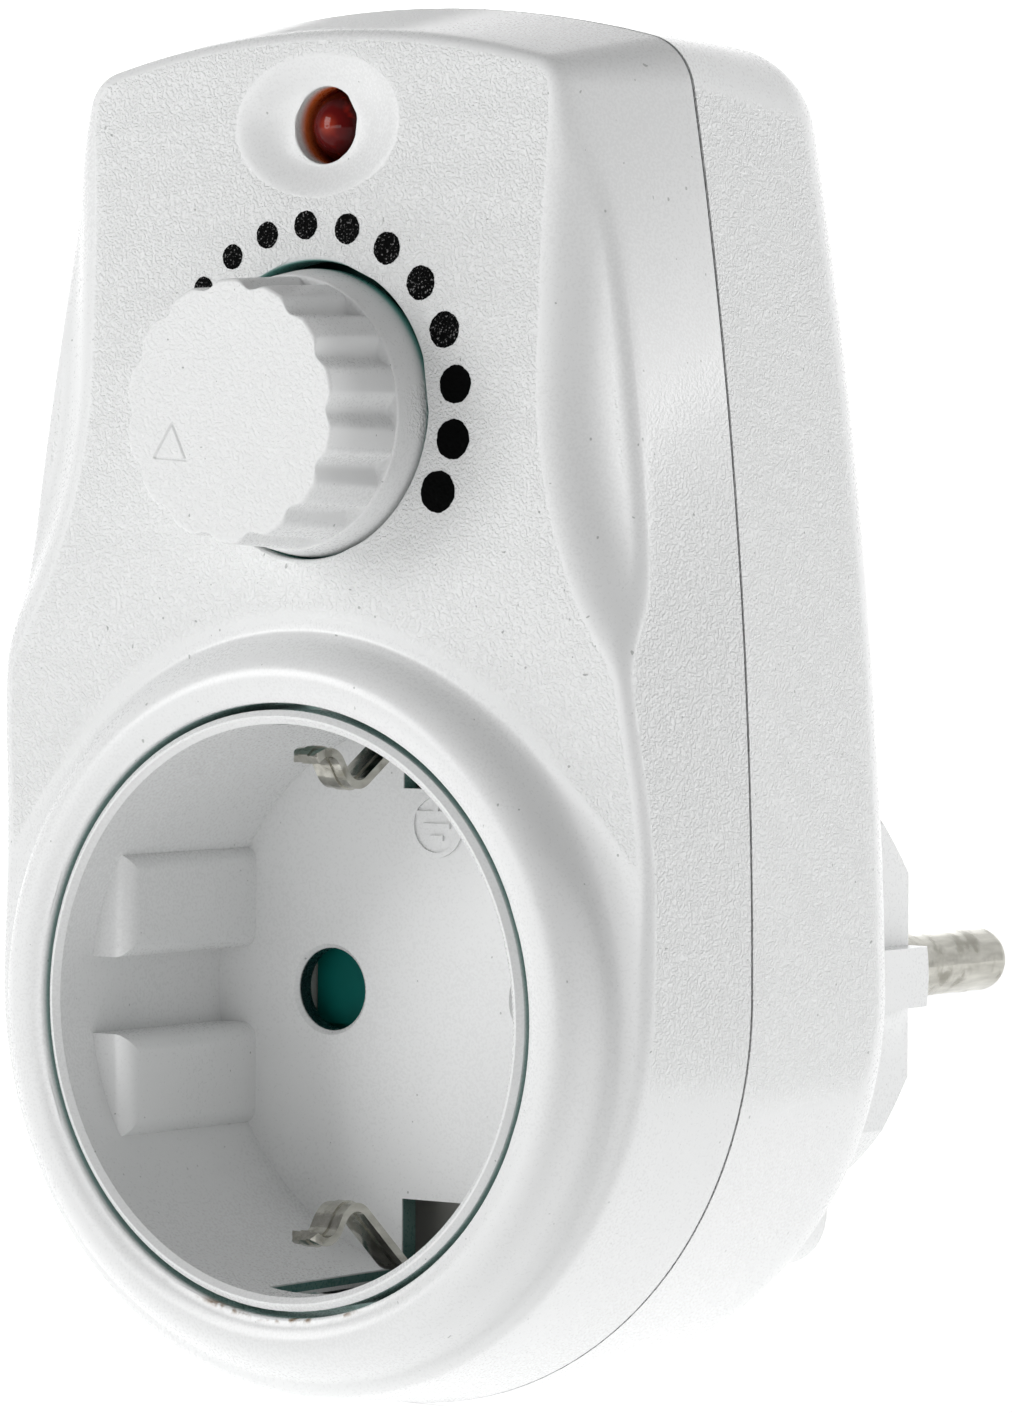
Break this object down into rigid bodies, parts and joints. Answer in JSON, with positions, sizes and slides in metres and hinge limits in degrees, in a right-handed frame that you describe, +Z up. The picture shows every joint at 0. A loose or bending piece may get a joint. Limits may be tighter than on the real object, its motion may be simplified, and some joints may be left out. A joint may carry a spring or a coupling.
{
  "type": "plug_in_dimmer",
  "caption": "White plug-in lamp dimmer: round plug behind, earthed socket well in front, ribbed turning knob, dot scale and small red lamp above.",
  "frame": {"origin": "centre of the plug's face, between the two pins", "axes": "+Z up, +Y the way the plug pins point, so the dial and socket look along -Y"},
  "size_m": [0.0588, 0.0812, 0.0971],
  "materials": {
    "white_plastic": "fine grain",
    "dial_print": "print",
    "inner_plastic": "satin",
    "shutter_plastic": "satin",
    "spring_steel": "bright",
    "contact_brass": "satin",
    "nickel": "bright",
    "pot_plastic": "satin",
    "red_lens": "clear",
    "board": "satin",
    "ferrite": "matt",
    "enamelled_wire": "gloss",
    "capacitor_case": "gloss",
    "black_case": "satin",
    "heat_sink_metal": "satin",
    "fuse_glass": "clear",
    "resistor_body": "gloss",
    "diac_glass": "gloss",
    "brown_wire": "satin",
    "blue_wire": "satin",
    "screw_steel": "plated"
  },
  "bodies": {
    "housing": {"front_cover": "white_plastic", "scale_dots": "dial_print", "rear_cover": "white_plastic", "socket_insert": "white_plastic", "contact_carrier": "inner_plastic", "shutter_spring": "spring_steel", "socket_contact_live": "contact_brass", "socket_contact_neutral": "contact_brass", "plug_pin_live": "nickel", "plug_pin_neutral": "nickel", "neutral_link": "contact_brass", "earth_strip_upper": "nickel", "earth_strip_lower": "nickel", "earth_bridge": "nickel", "dimmer_potentiometer": "pot_plastic", "indicator_lamp": "red_lens", "lamp_leads": "nickel", "circuit_board": "board", "choke_core": "ferrite", "choke_winding": "enamelled_wire", "film_capacitor": "capacitor_case", "triac": "black_case", "heat_sink": "heat_sink_metal", "fuse": "fuse_glass", "fuse_caps": "nickel", "fuse_clips": "contact_brass", "resistors": "resistor_body", "diac": "diac_glass", "live_wire": "brown_wire", "load_wire": "brown_wire", "neutral_wire": "blue_wire", "housing_screws": "screw_steel", "board_screws": "screw_steel"},
    "knob": {"dimmer_knob": "white_plastic", "potentiometer_shaft": "inner_plastic"},
    "shutter": {"safety_shutter": "shutter_plastic"}
  },
  "joints": [
    {"name": "knob_turn", "type": "hinge", "parent": "housing", "child": "knob", "pos_m": [0, -0.056, 0.0407], "axis": [0, 1, 0], "range_deg": [0, 232]},
    {"name": "shutter_slide", "type": "slide", "parent": "housing", "child": "shutter", "axis": [0, 0, 1], "range_m": [0, 0.0064], "stiffness_N_per_m": 120, "springref_m": -0.002, "deforming": ["shutter_spring"]}
  ]
}
